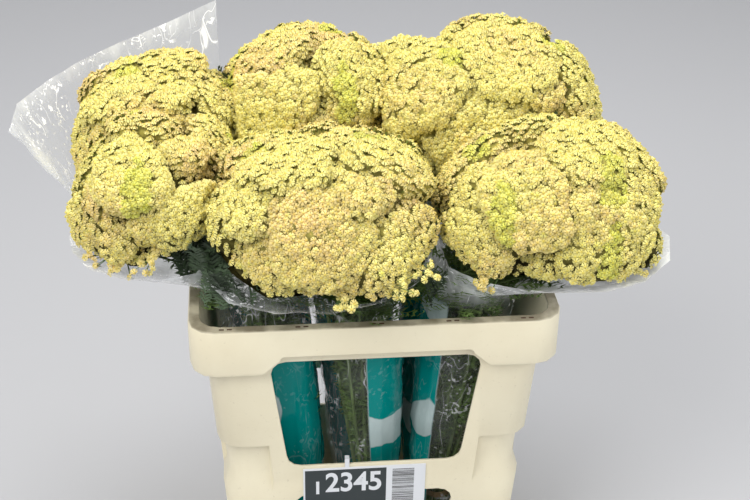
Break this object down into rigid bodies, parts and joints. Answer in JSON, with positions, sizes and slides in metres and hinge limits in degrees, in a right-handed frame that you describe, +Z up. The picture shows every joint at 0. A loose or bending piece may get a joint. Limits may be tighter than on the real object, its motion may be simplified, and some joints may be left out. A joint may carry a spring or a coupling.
{
  "type": "yarrow plant",
  "caption": "Yarrow with broad pale yellow flower heads, in clear sleeves, standing in a cream windowed flower bucket with a hanging label card.",
  "frame": {"origin": "on the floor under the middle of the bucket", "axes": "+Z up, +Y to the back, +X to the right of someone facing the label"},
  "size_m": [0.7144, 0.4679, 0.6637],
  "materials": {
    "bucket": "moulded, slightly worn",
    "label": "coated card",
    "heads": "soft, matt petals",
    "stems": "matt, finely ribbed",
    "sleeve": "clear film",
    "tie": "matt"
  },
  "bodies": {
    "root": {"bucket": "bucket", "label": "label", "front_left_heads": "heads", "front_left_stems": "stems", "front_left_sleeve": "sleeve", "front_left_tie": "tie", "front_middle_heads": "heads", "front_middle_stems": "stems", "front_middle_sleeve": "sleeve", "front_middle_tie": "tie", "front_right_heads": "heads", "front_right_stems": "stems", "front_right_sleeve": "sleeve", "front_right_tie": "tie", "back_left_heads": "heads", "back_left_stems": "stems", "back_left_sleeve": "sleeve", "back_left_tie": "tie", "back_middle_heads": "heads", "back_middle_stems": "stems", "back_middle_sleeve": "sleeve", "back_middle_tie": "tie", "back_right_heads": "heads", "back_right_stems": "stems", "back_right_sleeve": "sleeve", "back_right_tie": "tie"}
  },
  "joints": []
}
